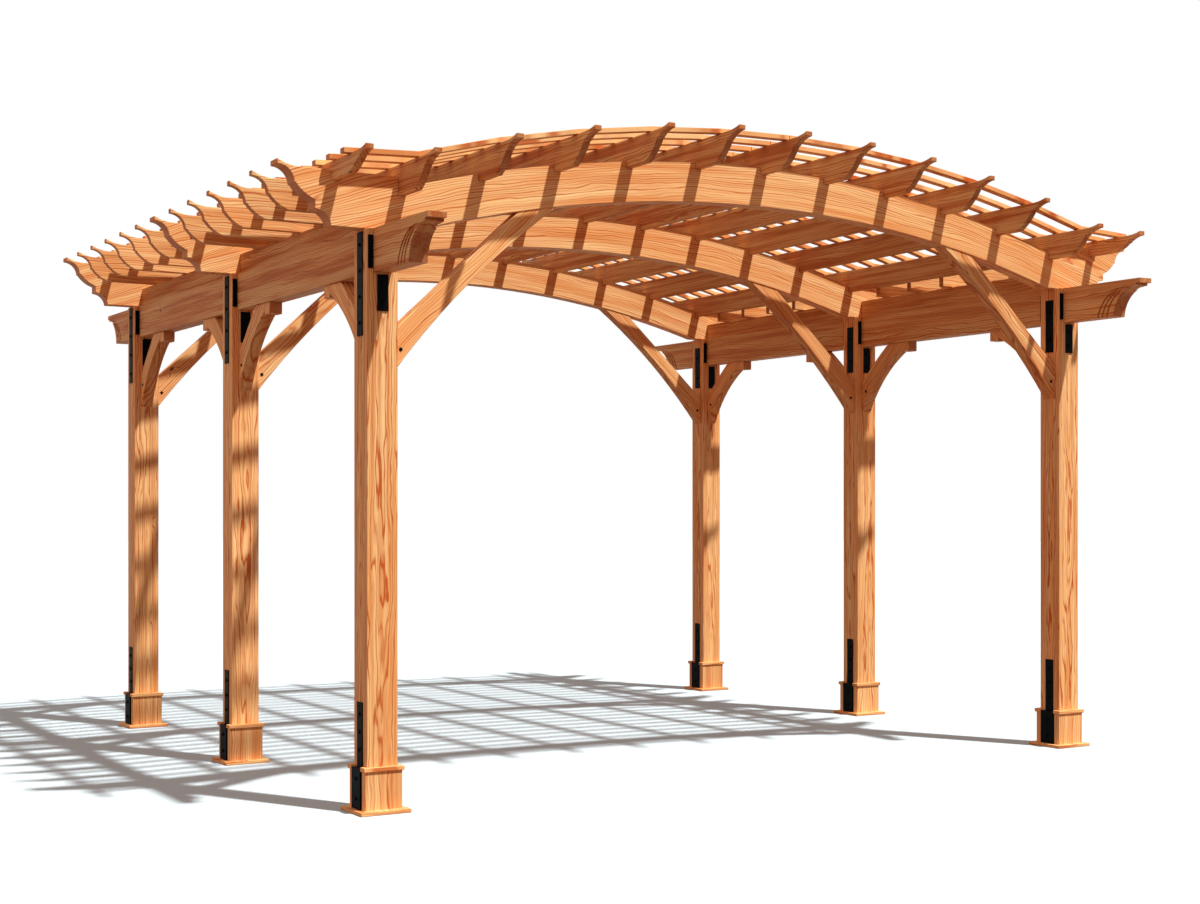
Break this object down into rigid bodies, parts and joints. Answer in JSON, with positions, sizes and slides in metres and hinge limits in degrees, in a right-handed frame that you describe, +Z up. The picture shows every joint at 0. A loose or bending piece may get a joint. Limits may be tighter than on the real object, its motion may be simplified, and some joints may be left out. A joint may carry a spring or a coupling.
{
  "type": "arched timber pergola",
  "caption": "Free-standing timber pergola with arched roof beams, shaped purlin and rafter tips, a slatted top, braced square posts and black steel straps",
  "frame": {"origin": "On the ground at the middle of the plan, half way between the two post rows and on the middle posts' line.", "axes": "+X across the arch to the right, +Y along the beams to the back, +Z up."},
  "size_m": [5.24, 4.96, 3.254],
  "materials": {
    "timber": "planed and oiled softwood with a clear straight and cathedral grain",
    "black_steel": "black powder-coated plate"
  },
  "bodies": {
    "root": {"front_left_post": "timber", "middle_left_post": "timber", "back_left_post": "timber", "front_right_post": "timber", "middle_right_post": "timber", "back_right_post": "timber", "left_base_trims": "timber", "right_base_trims": "timber", "left_beam": "timber", "right_beam": "timber", "front_arch": "timber", "middle_arch": "timber", "back_arch": "timber", "front_arch_braces": "timber", "middle_arch_braces": "timber", "back_arch_braces": "timber", "left_beam_braces": "timber", "right_beam_braces": "timber", "left_eave_plates": "timber", "right_eave_plates": "timber", "left_rafter_tails": "timber", "right_rafter_tails": "timber", "left_purlins": "timber", "ridge_purlin": "timber", "right_purlins": "timber", "left_eave_strip": "timber", "right_eave_strip": "timber", "front_slats": "timber", "middle_slats": "timber", "back_slats": "timber", "left_post_shoes": "black_steel", "right_post_shoes": "black_steel", "left_head_straps": "black_steel", "right_head_straps": "black_steel"}
  },
  "joints": []
}
